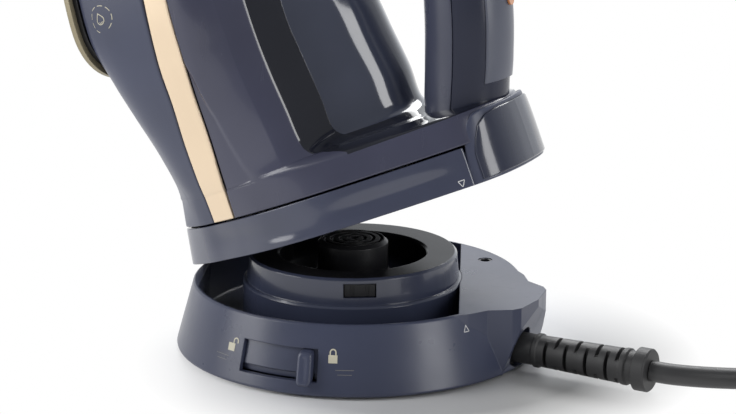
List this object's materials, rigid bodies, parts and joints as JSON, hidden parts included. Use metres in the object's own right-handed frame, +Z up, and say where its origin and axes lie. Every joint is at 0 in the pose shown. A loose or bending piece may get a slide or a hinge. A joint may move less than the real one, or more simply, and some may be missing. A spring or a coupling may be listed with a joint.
{
  "type": "clothes iron",
  "caption": "Cordless steam iron lifting off its round docking base, with a locking connector ring, slider lock, strain relief and a wound mains cord with plug.",
  "frame": {"origin": "centre of the base's middle foot on the floor", "axes": "+Z up from the floor, +X from the base's centre towards the cord outlet, +Y away from the slider lock"},
  "size_m": [0.5575, 0.154, 0.3058],
  "materials": {
    "navy_shell": "satin",
    "gloss_navy": "high gloss",
    "black_gloss": "high gloss",
    "black_plastic": "satin",
    "rubber": "matt",
    "gold": "champagne satin",
    "steel": "bright",
    "casting": "as cast",
    "sole": "ceramic coated, beige olive edge",
    "tank": "smoked clear",
    "cord": "satin",
    "lens": "clear amber",
    "terminal": "matt"
  },
  "bodies": {
    "base": {"base_shell": "navy_shell", "base_plate": "black_plastic", "base_feet": "rubber", "base_screws": "steel", "docking_ring": "gloss_navy", "ring_floor": "gloss_navy", "slot_liner": "black_plastic", "connector_body": "black_plastic", "contact_rings": "steel", "centre_contact": "steel", "dock_sensor": "black_plastic", "shelf_bush": "black_plastic", "connector_post": "black_plastic", "terminal_block": "terminal", "strain_relief": "rubber", "cord_run": "cord", "cord_coil": "cord", "cord_tail": "cord", "plug_body": "rubber", "plug_pins": "steel"},
    "lock_slider": {"lock_ring": "black_plastic", "lock_knob": "navy_shell"},
    "bolt_front": {"lock_bolt_front": "black_plastic"},
    "bolt_back": {"lock_bolt_back": "black_plastic"},
    "bolt_side": {"lock_bolt_side": "black_plastic"},
    "rest": {"rest_bead": "rubber"},
    "iron": {"soleplate": "sole", "sole_skirt": "black_plastic", "steam_casting": "casting", "thermostat": "steel", "lower_shell": "navy_shell", "gold_strips": "gold", "upper_shell": "gloss_navy", "water_tank": "tank", "heel_band": "navy_shell", "heel_plate": "black_plastic", "heel_socket": "black_plastic", "iron_contacts": "steel", "rear_cap": "navy_shell", "cap_panel": "gloss_navy", "handle_shell": "navy_shell", "handle_grip": "black_gloss", "grip_inlay": "black_plastic", "button_collar": "black_gloss", "button_seals": "rubber", "lever_track": "black_plastic", "dial_seat": "black_gloss", "filler_seat": "gloss_navy", "spray_nozzle": "black_gloss", "indicator_lens": "lens", "heel_screws": "steel"},
    "dial": {"temperature_dial": "black_gloss"},
    "lever": {"steam_lever": "navy_shell"},
    "spray": {"spray_button": "navy_shell"},
    "burst": {"burst_button": "navy_shell"},
    "filler": {"filler_cap": "tank"}
  },
  "joints": [
    {"name": "lock_turn", "type": "hinge", "parent": "base", "child": "lock_slider", "pos_m": [0, 0, 0.007], "axis": [0, 0, 1], "range_deg": [-19, 0]},
    {"name": "bolt_front_slide", "type": "slide", "parent": "base", "child": "bolt_front", "axis": [0.4848, -0.8746, 0], "range_m": [-0.002, 0]},
    {"name": "bolt_back_slide", "type": "slide", "parent": "base", "child": "bolt_back", "axis": [0.515, 0.8572, 0], "range_m": [-0.002, 0]},
    {"name": "bolt_side_slide", "type": "slide", "parent": "base", "child": "bolt_side", "axis": [-0.9998, 0.0175, 0], "range_m": [-0.002, 0]},
    {"name": "iron_lift", "type": "slide", "parent": "base", "child": "rest", "axis": [0, 0, 1], "range_m": [0, 0.12]},
    {"name": "iron_tilt", "type": "hinge", "parent": "rest", "child": "iron", "pos_m": [-0.067, 0, 0.0288], "axis": [0, 1, 0], "range_deg": [0, 21]},
    {"name": "dial_turn", "type": "hinge", "parent": "iron", "child": "dial", "pos_m": [-0.02132, 0, 0.16015], "axis": [0.891, 0, 0.454], "range_deg": [0, 270]},
    {"name": "lever_slide", "type": "slide", "parent": "iron", "child": "lever", "axis": [0, 1, 0], "range_m": [0, 0.008]},
    {"name": "spray_press", "type": "slide", "parent": "iron", "child": "spray", "axis": [-0.6694, 0, -0.7429], "range_m": [0, 0.0022], "stiffness_N_per_m": 600, "springref_m": -0.001},
    {"name": "burst_press", "type": "slide", "parent": "iron", "child": "burst", "axis": [-0.6694, 0, -0.7429], "range_m": [0, 0.0022], "stiffness_N_per_m": 600, "springref_m": -0.001},
    {"name": "filler_flip", "type": "hinge", "parent": "iron", "child": "filler", "pos_m": [-0.10094, 0, 0.29291], "axis": [0, -1, 0], "range_deg": [0, 105]}
  ],
  "couplings": [
    {"joint": "bolt_front_slide", "follows": "lock_turn", "m_per_rad": 0.006},
    {"joint": "bolt_back_slide", "follows": "lock_turn", "m_per_rad": 0.006},
    {"joint": "bolt_side_slide", "follows": "lock_turn", "m_per_rad": 0.006}
  ]
}
